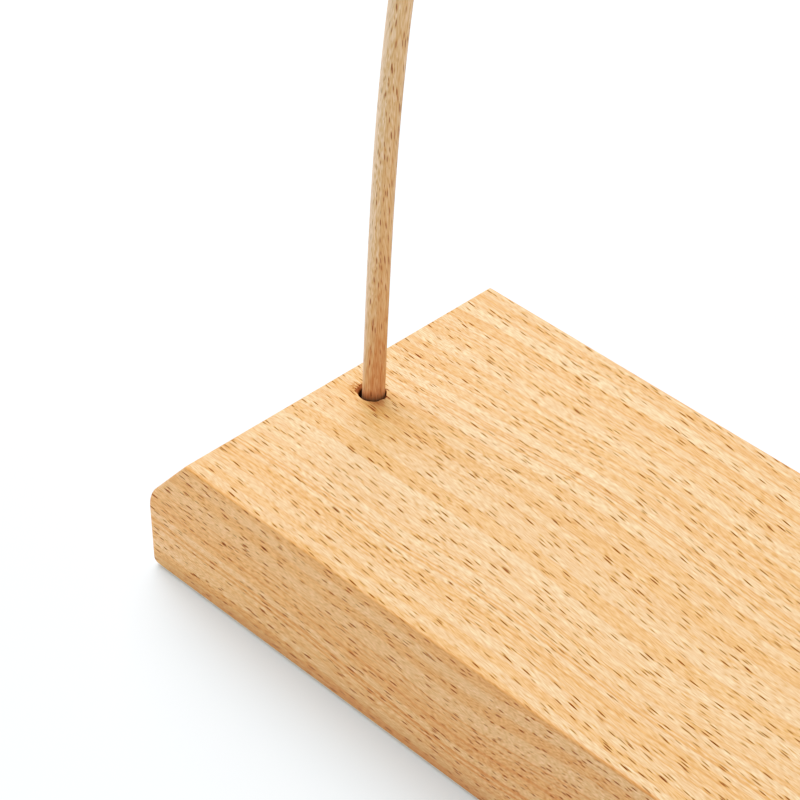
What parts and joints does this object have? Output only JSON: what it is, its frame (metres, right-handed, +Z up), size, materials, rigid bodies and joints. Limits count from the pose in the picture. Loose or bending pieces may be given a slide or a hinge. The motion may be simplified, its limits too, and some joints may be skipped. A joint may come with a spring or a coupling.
{
  "type": "paper towel holder",
  "caption": "Wooden paper towel holder: a long flat block with sloped ends, and a thin rod bent into a bow that lifts out of its end holes to take a roll.",
  "frame": {"origin": "bottom centre: the middle of the block in plan, at the height where the foot pads meet the table", "axes": "+X along the block, in the plane of the bow; +Y across the block; +Z up"},
  "size_m": [0.38, 0.076, 0.291],
  "materials": {
    "block_wood": "sanded beech, thinly oiled, matt to satin",
    "rod_wood": "bare beech rod, matt",
    "pad_rubber": "matt soft rubber"
  },
  "bodies": {
    "base": {"base_block": "block_wood", "foot_pad_1": "pad_rubber", "foot_pad_2": "pad_rubber", "foot_pad_3": "pad_rubber", "foot_pad_4": "pad_rubber"},
    "bow": {"bow_rod": "rod_wood"}
  },
  "joints": [
    {"name": "bow_lift", "type": "slide", "parent": "base", "child": "bow", "axis": [0, 0, 1], "range_m": [0, 0.03]}
  ]
}
